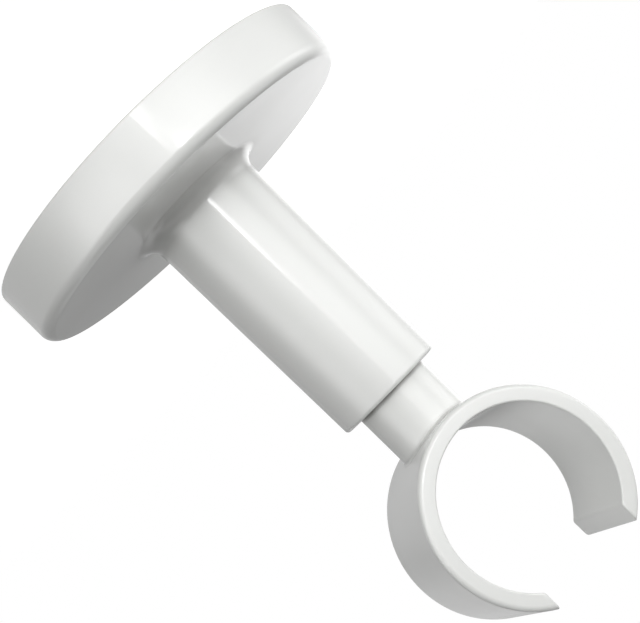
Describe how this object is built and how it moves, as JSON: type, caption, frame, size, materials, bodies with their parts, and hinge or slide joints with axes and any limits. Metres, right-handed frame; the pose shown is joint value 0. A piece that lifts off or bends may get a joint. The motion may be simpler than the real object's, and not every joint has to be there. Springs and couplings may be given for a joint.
{
  "type": "curtain pole bracket",
  "caption": "Curtain pole bracket: a round wall rose with a tapered barrel, and a stem that slides in it and ends in an open ring for the pole.",
  "frame": {"origin": "centre of the back face, which lies against the wall or the ceiling", "axes": "+Z along the arm, away from the wall; Y along the pole; the two grub screws are on the -X side"},
  "size_m": [0.06, 0.06, 0.0866],
  "materials": {
    "white_powder_coat": "smooth gloss powder coat over cast metal",
    "zinc_plated_steel": "bright zinc plating on pressed sheet",
    "screw_steel": "zinc-plated turned steel"
  },
  "bodies": {
    "wall_side": {"wall_fixing_plate": "zinc_plated_steel", "rose_with_barrel": "white_powder_coat", "rose_grub_screw": "screw_steel", "barrel_grub_screw": "screw_steel"},
    "pole_side": {"pole_ring_with_stem": "white_powder_coat"}
  },
  "joints": [
    {"name": "stem_slide", "type": "slide", "parent": "wall_side", "child": "pole_side", "axis": [0, 0, 1], "range_m": [0, 0.025]}
  ]
}
